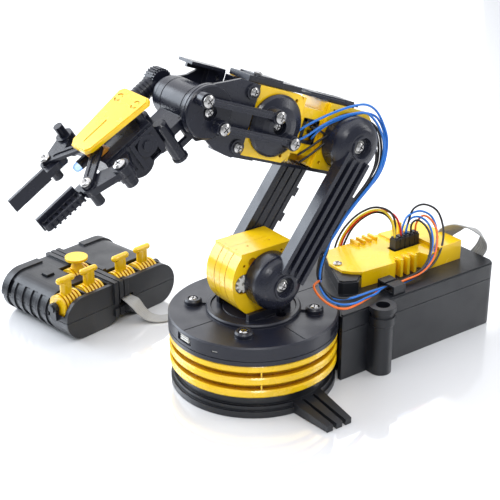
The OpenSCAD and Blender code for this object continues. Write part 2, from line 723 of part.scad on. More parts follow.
module rail_near() {
    color("dimgray") arm_frame() difference() {
        union() {
            rail_body(near_rail_y[0], near_rail_y[1], -1);
            for (z = [0, arm_len]) translate([0, 0, z]) {
                translate([0, -20, 0]) mirror([0, 1, 0]) dome(17.2, 12);
                y_rod(17.2, -20.02, -14.2);
            }
            // hooks that hold the wires
            for (z = [30, 58]) {
                span([11.9, -31, z], [15, -24, z + 9]);
                span([13.6, -31, z], [15, -20, z + 9]);
            }
        }
        for (z = [0, arm_len]) translate([0, 0, z]) {
            y_rod(axle_r, -28.4, -10);
            y_rod(5.4, -34, -28.4);
        }
    }
}
module rail_far() {
    color("dimgray") arm_frame() difference() {
        union() {
            rail_body(far_rail_y[0], far_rail_y[1], 1);
            for (z = [0, arm_len]) translate([0, 0, z]) {
                y_rod(15, 14.2, 22.6);
                translate([0, 22.6, 0]) dome(14, 4.4);
            }
            for (z = [34, 52]) span([11.9, far_rail_y[0], z], [14.4, far_rail_y[1], z + 6]);
        }
        for (z = [0, arm_len]) translate([0, 0, z]) {
            y_rod(axle_r, 10, 23.4);
            y_rod(4.1, 23.4, 40);
        }
    }
}
// Each axle turns with the rails and carries the output gear of its gearbox
module arm_axles() {
    color("white") arm_frame() for (z = [0, arm_len]) translate([0, 0, z]) {
        difference() {
            y_rod(axle_r, -28.4, 23.4);
            y_rod(1.4, -30, -20);
            y_rod(1.25, 15, 25);
        }
        difference() {
            translate([0, -7.6, 0]) rotate([90, 0, 0]) linear_extrude(3.6)
                rotate(z == 0 ? arm_lean : 0) gear_outline(24);
            y_rod(axle_r - eps, -14, 0);
        }
    }
}
module arm_screws() {
    color("silver") arm_frame() for (z = [0, arm_len]) translate([0, 0, z]) {
        translate([0, -28.4, 0]) y_screw(-1, 3.2, 1.8, 7);
        translate([0, 23.4, 0]) y_screw(1, 2.8, 1.6, 7);
    }
}
module arm_wires() {
    color("royalblue") arm_frame()
        for (x = [0, 1]) translate([17.6, -22.5 - x * 3.4, 12]) cylinder(r = 1.5, h = 72);
}

// ---- forearm --------------------------------------------------------------------

// Side view of the elbow gearbox, round at the back
module elbow_outline(inset) {
    intersection() {
        union() {
            translate([-2, 0]) circle(22 - inset, $fn = 96);
            translate([-2, -20 + inset]) square([20 - inset, 40 - 2 * inset]);
        }
        translate([-30, -20 + inset]) square([48 - inset, 40 - 2 * inset]);
    }
}
// Side view of the wrist gearbox, with its elbow-side corners cut
module wrist_outline(inset) {
    x0 = 38 + inset;
    x1 = 76 - inset;
    h = 20.5 - inset;
    polygon([[x0, -h + 5], [x0 + 5, -h], [x1, -h], [x1, h], [x0 + 5, h], [x0, h - 5]]);
}
// One half of a gearbox: side 1 is near, side -1 is far
module case_half(side, axle_u) {
    difference() {
        xz_plate(side > 0 ? 0.1 : -case_y, side > 0 ? case_y : -0.1) children(0);
        xz_plate(-case_y + wall, case_y - wall) children(1);
        translate([axle_u, 0, 0]) y_rod(bore_r, -20, 20);
    }
}
module elbow_case(side) {
    color("gold") forearm_frame() difference() {
        case_half(side, 0) {
            elbow_outline(0);
            elbow_outline(wall);
        }
        for (p = [[14, 16], [14, -16], [-12, 14], [-12, -14]])
            translate([p[0], 0, p[1]]) y_rod(1, side * (case_y + 1) - 3, side * (case_y + 1) + 3);
        // motor shaft and leads
        translate([0, 0, -2]) x_rod(8.4, 12, 20);
    }
}
module elbow_case_near() { elbow_case(1); }
module elbow_case_far() { elbow_case(-1); }
module wrist_case(side) {
    color("gold") forearm_frame() difference() {
        union() {
            case_half(side, crank_u) {
                wrist_outline(0);
                wrist_outline(wall);
            }
        }
        for (p = [[45, 16.5], [45, -16.5]])
            translate([p[0], 0, p[1]]) y_rod(1.1, side * (case_y + 1) - 3, side * (case_y + 1) + 3);
        translate([0, 0, -2]) x_rod(3, 36, 42);
    }
}
module wrist_case_near() { wrist_case(1); }
module wrist_case_far() { wrist_case(-1); }
module motor_housing() {
    color("goldenrod") forearm_frame() difference() {
        span([18, -11, -14], [38, 11, 14]);
        translate([0, 0, -2]) x_rod(7.6, 17, 39);
        // window for the motor leads
        span([21, 8, -7], [33, 12, 8]);
        // weight-saving recess on the far side
        span([21, -12, -9], [35, -9.4, 9]);
    }
    color("goldenrod") forearm_frame() {
        for (x = [18, 35.8]) span([x, -11, 14 - eps], [x + 2.2, 11, 19.4]);
        for (x = [18, 35.8]) span([x, -11, -19.4], [x + 2.2, 11, -14 + eps]);
        // rib between the lower pair
        span([19, -1, -19.4], [37, 1, -14 + eps]);
    }
}
module forearm_motors() {
    color("silver") forearm_frame() {
        translate([16.4, 0, -2]) intersection() {
            x_rod(7.4, 0, 19);
            span([0, -8, -6], [19, 8, 6]);
        }
        translate([48, -3.6, -12]) intersection() {
            x_rod(7.4, 0, 20);
            span([0, -8, -6], [20, 8, 6]);
        }
    }
}
// Long top and bottom plates that tie the two gearboxes together
module forearm_plates() {
    color("dimgray") forearm_frame() {
        difference() {
            union() {
                span([-6, -8, 20.02], [16, 8, 20.9]);
                span([-8, -9, 20.8], [54, 9, 22.4]);
                span([-6, -7, 22.3], [30, 7, 23.4]);
                span([40, -9.5, 20.8], [80, 9.5, 24.2]);
                span([54, -8, 24.1], [74, 8, 25]);
            }
            for (x = [2, 8, 14]) span([x, -4.5, 21], [x + 3.4, 4.5, 26]);
            for (y = [-7.4, 5.2]) span([58, y, 24], [76, y + 2.2, 26]);
            translate([68, 0, 20]) cylinder(r = 1.3, h = 6);
        }
        difference() {
            span([-2, -9, -22.8], [60, 9, -20.8]);
            for (y = [-6, -0.8, 4.4]) span([2, y, -23], [56, y + 1.6, -22]);
        }
        span([60 - eps, -9, -23.4], [80, 9, -20.8]);
    }
}
// Side view of a wrist cover: broad at the gearbox, round at the wrist
module cover_shape(end_r) {
    polygon([[76.6, -20.6], [83, -22.6], [96, -end_r - 4.6], [104, 0.2 - end_r], [108, -end_r],
             [108, end_r], [102, end_r + 2.1], [91, 21.6], [76.6, 20.8]]);
    translate([forearm_len, 0]) circle(end_r);
}
module cover_near() {
    color("dimgray") forearm_frame() difference() {
        union() {
            xz_plate(15, 17) cover_shape(15.4);
            xz_plate(13.8, 15.1) polygon([[76.6, -20.6], [90, -20.6], [90, 20.8], [76.6, 20.8]]);
            for (z = [-16, 16]) translate([81, 0, z]) y_rod(4.4, 16.9, 18.2);
            // flange that closes the front of the gearbox
            span([76.2, -13.6, -20], [79, 13.9, 20]);
        }
        translate([forearm_len, 0, 0]) y_rod(bore_r, 10, 20);
        for (z = [-16, 16]) translate([81, 0, z]) y_rod(1.4, 8, 20);
        xz_plate(16.6, 18) difference() {
            translate([forearm_len, 0]) circle(13.4);
            translate([forearm_len, 0]) circle(12.4);
        }
    }
}
module cover_far() {
    color("dimgray") forearm_frame() difference() {
        union() {
            xz_plate(-19.6, -17.6) cover_shape(11.6);
            xz_plate(-17.7, -13.8) polygon([[79.2, -20.6], [91, -20.6], [91, 20.8], [79.2, 20.8]]);
            // wing above the wrist
            span([84, -21.5, 20.6], [108, -8, 22.4]);
            span([88, -19.6, 18], [104, -17.6, 21]);
        }
        translate([forearm_len, 0, 0]) y_rod(bore_r, -25, -10);
        for (z = [-16, 16]) translate([84, 0, z]) y_rod(1.4, -24, -8);
    }
}
module forearm_screws() {
    color("silver") forearm_frame() {
        for (z = [-16, 16]) {
            translate([81, 18.2, z]) y_screw(1, 2.9, 1.6, 6);
            translate([84, -19.6, z]) y_screw(-1, 2.9, 1.6, 5);
        }
        translate([68, 0, 25]) screw(3, 1.6, 4);
    }
}

// ---- wrist linkage -----------------------------------------------------------------

// Puts its child at each of the two pin places on a circle
module at_pins(phase) {
    for (a = [phase, phase + 180])
        translate([pin_r * cos(a), 0, pin_r * sin(a)]) children();
}
module crank() {
    color("dimgray") forearm_frame() translate([crank_u, 0, 0]) difference() {
        union() {
            y_rod(axle_r, -12, 14.2);
            rotate([-90, 0, 0]) rotate_extrude()
                polygon([[0, 14.1], [18.4, 14.1], [18.4, 15.3], [17, 16.6], [12, 18.6], [8, 19.2], [0, 19.2]]);
            at_pins(pin_phase) {
                y_rod(4.2, 17, 20.6);
                y_rod(2.5, 20.5, 26.2);
            }
        }
        y_rod(4.6, 15.6, 24);
        y_rod(1.25, 9, 16);
        at_pins(pin_phase) y_rod(1.52, 18, 28);
    }
    color("white") forearm_frame() translate([crank_u, 0, 0]) difference() {
        translate([0, 11.2, 0]) rotate([90, 0, 0]) linear_extrude(3.6) gear_outline(24);
        y_rod(axle_r - eps, 0, 14);
    }
}
module crank_screws() {
    color("silver") forearm_frame() translate([crank_u, 0, 0]) {
        translate([0, 15.6, 0]) y_screw(1, 2.8, 1.6, 6);
        at_pins(pin_phase) translate([0, 26.2, 0]) y_screw(1, 3.5, 1.8, 5);
    }
}
// Rod between the crank pin and the matching wrist pin
module rod(phase) {
    span_u = forearm_len - crank_u;
    color("dimgray") forearm_frame()
        translate([crank_u + pin_r * cos(phase), 0, pin_r * sin(phase)]) difference() {
            union() {
                y_rod(4.3, 21, 25.9);
                translate([span_u, 0, 0]) y_rod(4.3, 21, 25.9);
                span([0, 21.8, -2.1], [span_u, 25.2, 2.1]);
                span([4, 21.2, -0.7], [span_u - 4, 25.7, 0.7]);
            }
            y_rod(2.55, 18, 30);
            translate([span_u, 0, 0]) y_rod(2.85, 18, 30);
        }
}
module rod_upper() { rod(pin_phase); }
module rod_lower() { rod(pin_phase + 180); }

// ---- hand ------------------------------------------------------------------------------

wrist_phase = pin_phase + forearm_tilt + hand_pitch;
module wrist_barrel() {
    color("dimgray") hand_frame() difference() {
        union() {
            y_rod(12.2, -16.6, 14.5);
            y_rod(axle_r, -22, 17.5);
            // far hub cap
            rotate([90, 0, 0]) rotate_extrude()
                polygon([[0, 20], [11, 20], [11, 21.2], [9.6, 22.6], [0, 22.6]]);
            // near disc with its two pins
            rotate([-90, 0, 0]) rotate_extrude()
                polygon([[0, 17.4], [15.3, 17.4], [15.3, 19.2], [14.5, 20], [0, 20]]);
            at_pins(wrist_phase) {
                y_rod(4.2, 19.9, 20.7);
                y_rod(2.5, 20.5, 26.2);
            }
            // yoke that carries the palm: two side plates, a web and two upright posts
            for (y = [-11, 8]) span([6, y, -10.5], [27, y + 3, 4]);
            span([6, -10, 0], [28.6, 10, 4]);
            for (s = [-1, 1]) translate([24.6, s * 9.4, 0]) {
                translate([0, 0, -15.4]) cylinder(r = 4.6, h = 1.6);
                translate([0, 0, -14]) cylinder(r = 4.1, h = 24);
                translate([0, 0, 10 - eps]) cylinder(r1 = 4.1, r2 = 3, h = 1.4);
            }
        }
        // through window, grooves and screw holes
        span([15.6, -20, -7.4], [22, 20, -1]);
        for (y = [-11.6, 8.6]) translate([0, y, 0]) rotate([-90, 0, 0]) rotate_extrude()
            translate([11.8, 0]) square([2, 0.6]);
        y_rod(4.6, 18.6, 24);
        y_rod(1.25, 10, 20);
        y_rod(1.25, -24, -17);
        at_pins(wrist_phase) y_rod(1.52, 18, 28);
    }
}
// Side view of the palm's housing
module palm_outline() {
    polygon([[29.3, 0.5], [31.5, -1.5], [52, -1.5], [62.2, 4], [62.2, 18.4], [29.3, 18.4]]);
}
module palm() {
    color("dimgray") hand_frame() difference() {
        union() {
            xz_plate(-14, 14) palm_outline();
            // bowl of the gearbox under the housing
            xz_plate(-7.5, 7.5) {
                translate([44.5, 0]) circle(9.4);
                translate([36, -4.6]) square([16, 6]);
            }
            // round bosses and struts on both sides
            for (s = [-1, 1]) {
                translate([38.2, 0, 9.4]) y_rod(6.2, min(13.9 * s, 15.8 * s), max(13.9 * s, 15.8 * s));
                translate([38.2, 0, 9.4]) y_rod(3, min(13.9 * s, 16.8 * s), max(13.9 * s, 16.8 * s));
                span([44.6, min(13.9 * s, 16 * s), -1.2], [47, max(13.9 * s, 16 * s), 17]);
                span([30, min(13.9 * s, 15.4 * s), 14.6], [60, max(13.9 * s, 15.4 * s), 16.8]);
            }
            // front wall and side arms to the finger pivots
            for (s = [-1, 1]) {
                translate([0, 0, 12]) linear_extrude(4.4)
                    polygon([[48, s * 13.4], [62.2, s * 13.4], [65, s * 30], [56, s * 30]]);
                translate([finger_pivot[0], s * finger_pivot[1], 8.6]) cylinder(r = 3.7, h = 7.8);
                translate([finger_pivot[0], s * finger_pivot[1], 13]) cylinder(r = 4.6, h = 3.4);
                translate([finger_pivot[0], s * finger_pivot[1], 16]) cylinder(r = 2, h = 6.2);
            }
            // tall pin on the far finger's pivot, lamp socket in the front wall
            translate([finger_pivot[0], -finger_pivot[1], 22.1]) cylinder(r = 2.7, h = 6.5);
            translate([0, lamp_y, lamp_z]) x_rod(2.9, 62.1, 68.4);
            // posts under the cover
            for (p = [[31, 8], [31, -8]])
                translate([p[0], p[1], 17]) cylinder(r = 2.8, h = 8.5);
            // ribbed drum on the far side and the ringed barrel in front of it
            translate([-2.2, 0, 6.9]) {
                y_rod(6.4, -34, -25);
                for (a = [0:15:345]) rotate([0, a, 0]) span([6.2, -33.6, -0.45], [7.3, -26, 0.45]);
            }
            translate([0, clutch_y, clutch_z]) {
                x_rod(4.8, 1, 20);
                x_rod(3.8, 19.9, 34);
                for (u = [4:2.4:18]) x_rod(5.5, u, u + 1.2);
            }
            span([30, clutch_y - 1.5, 4], [38, -13.4, 12]);
        }
        // window in each side, slots between the ribs, pilot hole
        for (s = [-1, 1]) {
            translate([33, s * 14 - 2.5, -0.6]) cube([7, 5, 4]);
            translate([49.4, s * 14 - 1, 1.6]) cube([8.6, 2, 9]);
        }
        translate([finger_pivot[0], finger_pivot[1], 14]) cylinder(r = 1.48, h = 12);
        // seat of the lamp, track for the slider
        translate([0, lamp_y, lamp_z]) x_rod(2.55, 66.9, 69);
        span([44, -6, 16.4], [64, 6, 20]);
    }
}
module hand_cover() {
    tip = 22 + cover_len;
    color("gold") hand_frame() difference() {
        translate([0, 0, 25.6]) union() {
            linear_extrude(2.2) polygon([[24.5, -14.2], [tip - 3, -9.6], [tip, -6.6], [tip, 6.6],
                                         [tip - 3, 9.6], [24.5, 14.2], [22, 11.6], [22, -11.6]]);
            translate([0, 0, 2.2 - eps]) linear_extrude(0.8)
                polygon([[24.9, -13.5], [tip - 3.4, -9], [tip - 0.7, -6.2], [tip - 0.7, 6.2],
                         [tip - 3.4, 9], [24.9, 13.5], [22.7, 11.2], [22.7, -11.2]]);
        }
        span([tip - 22, -0.5, 28], [tip - 5, 0.5, 30]);
        for (s = [-1, 1]) translate([29, s * 8.4, 28]) difference() {
            cylinder(r = 3, h = 2);
            translate([0, 0, -1]) cylinder(r = 1.9, h = 4);
            translate([-1, -4, -1]) cube([2, 8, 4]);
        }
    }
}
module led_lamp() {
    color("lightblue") hand_frame() translate([0, lamp_y, lamp_z]) {
        x_rod(2.5, 67.1, 69.6);
        translate([69.6, 0, 0]) sphere(r = 2.5);
    }
}
module hand_screws() {
    color("silver") hand_frame() {
        translate([0, 18.6, 0]) y_screw(1, 2.8, 1.6, 7);
        at_pins(wrist_phase) translate([0, 26.2, 0]) y_screw(1, 3.5, 1.8, 5);
        translate([finger_pivot[0], finger_pivot[1], 22.2]) screw(3.4, 1.8, 6);
        translate([0, -22.6, 0]) y_screw(-1, 2.8, 1.6, 5);
    }
}
// Plan view of a bar with round ends between two places
module bar(p, q, w) {
    d = q - p;
    translate(p) rotate(atan2(d[1], d[0])) translate([0, -w / 2]) square([norm(d), w]);
    translate(p) circle(w / 2);
    translate(q) circle(w / 2);
}
// Finger of the near side; the far one is its mirror image
module finger() {
    pad_y = grip_gap / 2;
    tip_u = 110;
    // the bar is low where the link passes over it
    link_clear = 84;
    difference() {
        union() {
            translate([0, 0, 16.8]) linear_extrude(4) {
                bar(finger_pivot, finger_screw, 9);
                bar(finger_screw, [76, 18.6], 8);
                polygon([[68, 19.5], [84, 19.5], [80, 26], [62, 34], [58, 28]]);
            }
            translate([finger_pivot[0], finger_pivot[1], 16.8]) cylinder(r = 5, h = 5.2);
            translate([finger_screw[0], finger_screw[1], 8.8]) cylinder(r = 3, h = 12.4);
            translate([finger_screw[0], finger_screw[1], 16.8]) cylinder(r = 4.2, h = 4.4);
            translate([finger_screw[0], finger_screw[1], 21]) cylinder(r = 2.1, h = 2.3);
            // low root of the bar, then its ladder with nubs on the outer rail
            span([70, pad_y + 1.8, 16], [link_clear + 0.1, pad_y + 5.4, 20.8]);
            translate([0, 0, 16]) linear_extrude(4)
                polygon([[link_clear, pad_y + 1.8], [tip_u - 1, pad_y + 1.8], [tip_u - 1, pad_y + 5.2],
                         [tip_u - 2.4, pad_y + 6.4], [link_clear, pad_y + 7.6]]);
            for (i = [0:6]) span([link_clear + 0.1 + i * 3.4, pad_y + 5.6, 16.4],
                                 [link_clear + 1.4 + i * 3.4, pad_y + 9.4 - i * 0.16, 18]);
            // gripping pad
            span([71, pad_y, 16.4], [link_clear + 0.1, pad_y + 1.9, 20.8]);
            span([link_clear, pad_y, 15.4], [tip_u - 0.4, pad_y + 1.9, 23.6]);
        }
        for (i = [0:6]) translate([link_clear + 1.5 + i * 3.4, pad_y + 2.4, 15]) cube([2, 3.8 - i * 0.16, 9]);
        translate([finger_pivot[0], finger_pivot[1], 10]) cylinder(r = 2.05, h = 14);
    }
}
module finger_near() { color("dimgray") hand_frame() finger(); }
module finger_far() { color("dimgray") hand_frame() mirror([0, 1, 0]) finger(); }
module grip_slider() {
    color("goldenrod") hand_frame() {
        span([slider_u - 6, -5.6, 16.8], [slider_u + 4, 5.6, 18.2]);
        span([slider_u - 4, -7.6, 18.8 - eps], [slider_u + 3, 7.6, 20.9]);
        translate([slider_u, 0, 18]) cylinder(r = 3, h = 1.2);
        for (s = [-1, 1]) translate([slider_u, s * slider_y, 20.8]) cylinder(r = 1.4, h = 3);
    }
}
module link() {
    p = [slider_u, slider_y];
    difference() {
        translate([0, 0, 21.3]) linear_extrude(1.8) bar(p, finger_screw, 6.4);
        // groove between the two rails of the bar
        translate([0, 0, 22.5]) linear_extrude(2)
            bar(p * 0.78 + finger_screw * 0.22, p * 0.24 + finger_screw * 0.76, 2.4);
        translate([p[0], p[1], 20]) cylinder(r = 2.2, h = 5);
        translate([finger_screw[0], finger_screw[1], 20]) cylinder(r = 2.15, h = 5);
    }
}
module link_near() { color("gray") hand_frame() link(); }
module link_far() { color("gray") hand_frame() mirror([0, 1, 0]) link(); }

base_plate();
base_rings();
base_cap();
base_screws();
base_motor();
base_pinion();
battery_box();
battery_lid();
battery_cells();
battery_springs();
side_post();
circuit_board();
board_cover();
motor_plugs();
wire_clip();
plug_wires();
handset_lower();
handset_upper();
handset_board();
handset_ribbon();
lever_base();
lever_shoulder();
lever_elbow();
lever_wrist();
lever_grip();
led_button();
turntable();
shoulder_case_near();
shoulder_case_far();
shoulder_motor();
shoulder_pinion();
rail_near();
rail_far();
arm_axles();
arm_screws();
arm_wires();
elbow_case_near();
elbow_case_far();
wrist_case_near();
wrist_case_far();
motor_housing();
forearm_motors();
forearm_plates();
cover_near();
cover_far();
forearm_screws();
crank();
crank_screws();
rod_upper();
rod_lower();
wrist_barrel();
palm();
hand_cover();
led_lamp();
hand_screws();
finger_near();
finger_far();
grip_slider();
link_near();
link_far();
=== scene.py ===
import json
import math

import bmesh
import bpy
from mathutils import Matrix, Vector


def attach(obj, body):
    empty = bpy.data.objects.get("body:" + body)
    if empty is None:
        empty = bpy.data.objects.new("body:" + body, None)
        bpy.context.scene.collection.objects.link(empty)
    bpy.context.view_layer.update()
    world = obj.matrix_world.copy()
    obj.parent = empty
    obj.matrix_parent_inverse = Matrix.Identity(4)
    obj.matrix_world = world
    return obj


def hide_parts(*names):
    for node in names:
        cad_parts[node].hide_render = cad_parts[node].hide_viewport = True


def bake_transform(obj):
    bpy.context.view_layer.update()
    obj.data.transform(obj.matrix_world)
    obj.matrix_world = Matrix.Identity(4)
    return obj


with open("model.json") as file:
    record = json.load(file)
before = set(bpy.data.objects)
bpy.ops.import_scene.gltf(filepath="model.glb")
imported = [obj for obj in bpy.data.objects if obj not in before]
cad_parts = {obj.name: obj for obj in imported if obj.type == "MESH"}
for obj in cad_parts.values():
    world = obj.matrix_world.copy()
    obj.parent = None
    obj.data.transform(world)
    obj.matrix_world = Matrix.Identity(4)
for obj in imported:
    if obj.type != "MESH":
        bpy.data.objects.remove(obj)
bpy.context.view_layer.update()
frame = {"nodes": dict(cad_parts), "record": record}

MM = 0.001


def metres(points):
    """Places in millimetres, as vectors in metres."""
    return [Vector(p) * MM for p in points]


# ---- camera ------------------------------------------------------------------

CAMERA_AZIMUTH = math.radians(-36.26)
CAMERA_ELEVATION = math.radians(24.35)
CAMERA_DISTANCE = 0.7265
CAMERA_TARGET = Vector((-0.0026, 0.0, 0.0876))
CAMERA_LENS = 86.4
SENSOR = 36.0


def make_camera():
    """Long lens on the near left, a little above the object."""
    back = Vector((math.sin(CAMERA_AZIMUTH) * math.cos(CAMERA_ELEVATION),
                   -math.cos(CAMERA_AZIMUTH) * math.cos(CAMERA_ELEVATION),
                   math.sin(CAMERA_ELEVATION)))
    data = bpy.data.cameras.new("camera")
    data.lens = CAMERA_LENS
    data.sensor_width = SENSOR
    data.clip_start = 0.01
    data.clip_end = 50
    camera = bpy.data.objects.new("camera", data)
    bpy.context.scene.collection.objects.link(camera)
    camera.location = CAMERA_TARGET + back * CAMERA_DISTANCE
    camera.rotation_mode = "QUATERNION"
    camera.rotation_quaternion = (-back).to_track_quat("-Z", "Y")
    bpy.context.scene.camera = camera


make_camera()


# ---- curves and tubes -----------------------------------------------------------

def smooth_line(points, step):
    """Catmull-Rom curve through the points, sampled about every step metres."""
    ends = [points[0] * 2 - points[1], *points, points[-1] * 2 - points[-2]]
    line = []
    for a, b, c, d in zip(ends, ends[1:], ends[2:], ends[3:]):
        count = max(2, round((c - b).length / step))
        for i in range(count):
            t = i / count
            line.append(0.5 * (2 * b + (c - a) * t + (2 * a - 5 * b + 4 * c - d) * t ** 2
                               + (3 * b - a - 3 * c + d) * t ** 3))
    line.append(points[-1].copy())
    return line


def tangents(line):
    last = len(line) - 1
    return [(line[min(i + 1, last)] - line[max(i - 1, 0)]).normalized() for i in range(last + 1)]


def mesh_object(name, verts, faces, smooth=True):
    """New mesh object with outward normals."""
    mesh = bpy.data.meshes.new(name)
    mesh.from_pydata([tuple(v) for v in verts], [], faces)
    built = bmesh.new()
    built.from_mesh(mesh)
    bmesh.ops.recalc_face_normals(built, faces=built.faces)
    built.to_mesh(mesh)
    built.free()
    for face in mesh.polygons:
        face.use_smooth = smooth
    made = bpy.data.objects.new(name, mesh)
    bpy.context.scene.collection.objects.link(made)
    return made


def skin_rings(rings):
    """Faces of a closed tube, given its rings of points in order."""
    sides = len(rings[0])
    faces = []
    for i in range(len(rings) - 1):
        for k in range(sides):
            a, b = i * sides + k, i * sides + (k + 1) % sides
            faces.append((a, b, b + sides, a + sides))
    faces.append(tuple(range(sides)))
    faces.append(tuple(range((len(rings) - 1) * sides, len(rings) * sides)))
    return faces


TUBE_SIDES = 10
TUBE_END = 0.8


def round_tube(name, line, radius, sides=TUBE_SIDES):
    """Closed round tube along a line, whose two end rings are TUBE_END as wide."""
    along = tangents(line)
    side = along[0].orthogonal().normalized()
    rings = []
    for i, (place, forward) in enumerate(zip(line, along)):
        side = (side - forward * side.dot(forward)).normalized()
        other = forward.cross(side)
        scale = radius * (TUBE_END if i in (0, len(line) - 1) else 1.0)
        rings.append([place + scale * (math.cos(2 * math.pi * k / sides) * side
                                       + math.sin(2 * math.pi * k / sides) * other) for k in range(sides)])
    return mesh_object(name, [p for ring in rings for p in ring], skin_rings(rings))


# ---- ribbon between the handset and the circuit cover --------------------------------

RIBBON_WIDTH = 0.010
RIBBON_THICK = 0.0012
RIBBON_CORES = 6
RIBBON_STEP = 0.0015
RIBBON_PATH = metres([
    (-24.6, 115.4, 16.4), (-22, 108, 14), (-18, 104, 7), (-13, 101, 2.4), (-6, 97.5, 0.9),
    (6, 95, 0.8), (24, 92, 0.8), (44, 86, 0.8), (64, 76, 0.8), (84, 66, 0.8),
    (104, 57, 2.6), (122, 50, 5.0), (138, 45, 6.9), (152, 42.4, 8.5), (166, 41, 9.5),
    (174, 39.6, 10), (178.2, 35, 11), (178.8, 27, 13), (178.5, 14, 19), (178.4, 0, 27.5),
    (178.4, -12, 36), (178.4, -19, 44.5), (178, -23, 51.5), (175.5, -25, 58.5), (170.5, -22, 64),
    (165.5, -15, 65.5), (162.8, -8, 62), (161, -3, 57.4), (157.6, -1, 54.6)])
RIBBON_FACE = [
    (0.2, -0.3, 1), (0.1, -0.7, 0.7), (0.2, -0.6, 0.8), (0, -0.2, 1), (0, 0, 1),
    (0, 0, 1), (0, 0, 1), (0, 0, 1), (0, 0, 1), (0, 0, 1),
    (0.1, 0.25, 1), (0.2, 0.8, 0.5), (0.1, 1, 0.2), (0, 1, 0), (0.1, 1, 0),
    (0.5, 0.9, 0), (1, 0.5, 0), (1, 0.1, 0), (1, 0, 0), (1, 0, 0),
    (1, 0, 0), (1, 0, 0), (1, -0.1, 0.1), (0.8, -0.5, 0.4), (0.6, -0.4, 0.8),
    (0.5, 0.1, 0.9), (0.7, 0.5, 0.5), (0.8, 0.6, 0.2), (0.6, 0.5, 0.7)]


def make_ribbon():
    """Flat cable of six moulded-together cores.

    It follows the route of its CAD solid, lifted by up to 1.4 mm where that one
    dips just below the floor, beside the battery box.
    """
    line = smooth_line(RIBBON_PATH, RIBBON_STEP)
    counts = [max(2, round((b - a).length / RIBBON_STEP)) for a, b in zip(RIBBON_PATH, RIBBON_PATH[1:])]
    facing = []
    for i, count in enumerate(counts):
        start, end = Vector(RIBBON_FACE[i]), Vector(RIBBON_FACE[i + 1])
        facing += [start.lerp(end, k / count) for k in range(count)]
    facing.append(Vector(RIBBON_FACE[-1]))
    core = RIBBON_WIDTH / RIBBON_CORES
    outline = []
    for upper in (1, -1):
        for k in range(RIBBON_CORES):
            n = k if upper > 0 else RIBBON_CORES - 1 - k
            centre = (n + 0.5) * core - RIBBON_WIDTH / 2
            for turn in (150, 120, 90, 60, 30):
                a = math.radians(turn if upper > 0 else 360 - (180 - turn))
                outline.append((centre + core / 2 * math.cos(a), RIBBON_THICK / 2 * math.sin(a)))
    rings = []
    for place, forward, face in zip(line, tangents(line), facing):
        across = forward.cross(face).normalized()
        up = across.cross(forward)
        rings.append([place + across * x + up * z for x, z in outline])
    ribbon = mesh_object("ribbon", [p for ring in rings for p in ring], skin_rings(rings))
    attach(ribbon, "base")
    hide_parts("handset_ribbon")
    return ribbon


ribbon = make_ribbon()


# ---- materials ----------------------------------------------------------------------

class Shader:
    """Small helper around one material's node tree."""

    def __init__(self, name):
        self.material = bpy.data.materials.new(name)
        self.material.use_nodes = True
        self.tree = self.material.node_tree
        self.surface = self.tree.nodes["Principled BSDF"]
        self.place = self.add("ShaderNodeTexCoord").outputs["Object"]

    def add(self, kind, **settings):
        node = self.tree.nodes.new(kind)
        for key, value in settings.items():
            setattr(node, key, value)
        return node

    def link(self, source, target):
        self.tree.links.new(source, target)

    def noise(self, size, detail=3.0, stretch=None):
        """Noise whose features are about size metres across, scaled by stretch along x, y and z."""
        place = self.place
        if stretch:
            mapping = self.add("ShaderNodeMapping")
            self.link(self.place, mapping.inputs["Vector"])
            mapping.inputs["Scale"].default_value = stretch
            place = mapping.outputs["Vector"]
        node = self.add("ShaderNodeTexNoise")
        node.inputs["Scale"].default_value = 1 / size
        node.inputs["Detail"].default_value = detail
        self.link(place, node.inputs["Vector"])
        return node.outputs["Fac"]

    def ramp(self, source, low, high, out_low, out_high):
        """Maps source from low..high to out_low..out_high."""
        node = self.add("ShaderNodeMapRange")
        node.inputs["From Min"].default_value = low
        node.inputs["From Max"].default_value = high
        node.inputs["To Min"].default_value = out_low
        node.inputs["To Max"].default_value = out_high
        self.link(source, node.inputs["Value"])
        return node.outputs["Result"]

    def mix(self, factor, first, second):
        """Colour between first and second, each a colour or a socket."""
        node = self.add("ShaderNodeMix", data_type="RGBA")
        self.link(factor, node.inputs[0])
        for socket, value in ((node.inputs[6], first), (node.inputs[7], second)):
            if isinstance(value, tuple):
                socket.default_value = (*value, 1)
            else:
                self.link(value, socket)
        return node.outputs[2]

    def edges(self, radius):
        """1 on sharp outer and inner edges, 0 on flat faces, and the rounded normal."""
        rounded = self.add("ShaderNodeBevel", samples=4)
        rounded.inputs["Radius"].default_value = radius
        flat = self.add("ShaderNodeNewGeometry").outputs["Normal"]
        dot = self.add("ShaderNodeVectorMath", operation="DOT_PRODUCT")
        self.link(rounded.outputs["Normal"], dot.inputs[0])
        self.link(flat, dot.inputs[1])
        return self.ramp(dot.outputs["Value"], 0.98, 0.75, 0.0, 1.0), rounded.outputs["Normal"]

    def openness(self, reach):
        """1 on open surfaces, lower in grooves and corners up to reach metres wide."""
        node = self.add("ShaderNodeAmbientOcclusion", samples=4)
        node.inputs["Distance"].default_value = reach
        return node.outputs["AO"]

    def bump(self, height, distance, strength, normal=None):
        node = self.add("ShaderNodeBump")
        node.inputs["Distance"].default_value = distance
        node.inputs["Strength"].default_value = strength
        self.link(height, node.inputs["Height"])
        if normal:
            self.link(normal, node.inputs["Normal"])
        return node.outputs["Normal"]


def shade(colour, factor):
    return tuple(min(1.0, c * factor) for c in colour)


